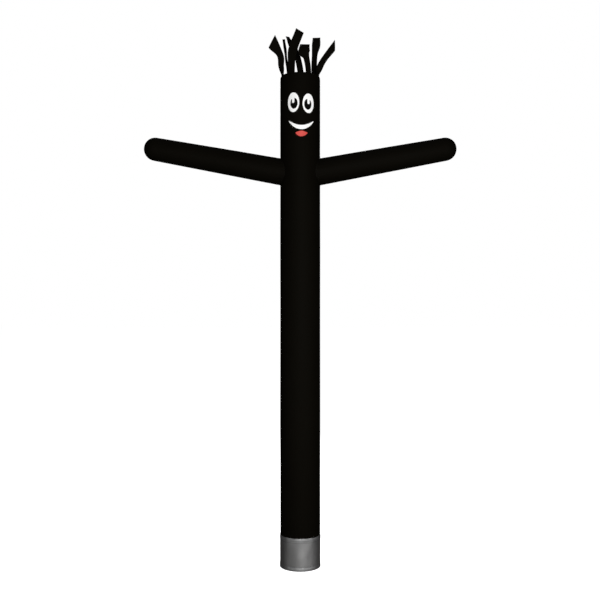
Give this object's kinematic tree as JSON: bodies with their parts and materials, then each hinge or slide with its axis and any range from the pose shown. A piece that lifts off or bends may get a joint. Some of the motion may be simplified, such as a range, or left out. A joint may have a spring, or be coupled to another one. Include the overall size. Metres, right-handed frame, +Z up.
{
  "type": "inflatable air dancer",
  "caption": "Tall black cloth tube figure, held up by blown air, with raised arms, a smiling face, loose cloth hair and a grey collar for a fan blower.",
  "frame": {"origin": "centre of the collar's bottom rim, on the floor", "axes": "+Z up along the tube, the face looks along -Y, the figure's left arm reaches along +X"},
  "size_m": [3.5714, 0.4652, 6.1521],
  "materials": {
    "black_ripstop": "black ripstop nylon, satin",
    "grey_coated_cloth": "silver-grey coated nylon, soft sheen",
    "white_patch": "white nylon patch, satin",
    "black_patch": "black nylon patch, satin",
    "red_patch": "red nylon patch, satin"
  },
  "bodies": {
    "root": {"tube": "black_ripstop", "crown": "black_ripstop", "hair": "black_ripstop", "arm_left": "black_ripstop", "arm_right": "black_ripstop", "collar": "grey_coated_cloth", "eye_left": "white_patch", "eye_right": "white_patch", "smile": "white_patch", "pupil_left": "black_patch", "pupil_right": "black_patch", "lip": "red_patch"}
  },
  "joints": []
}
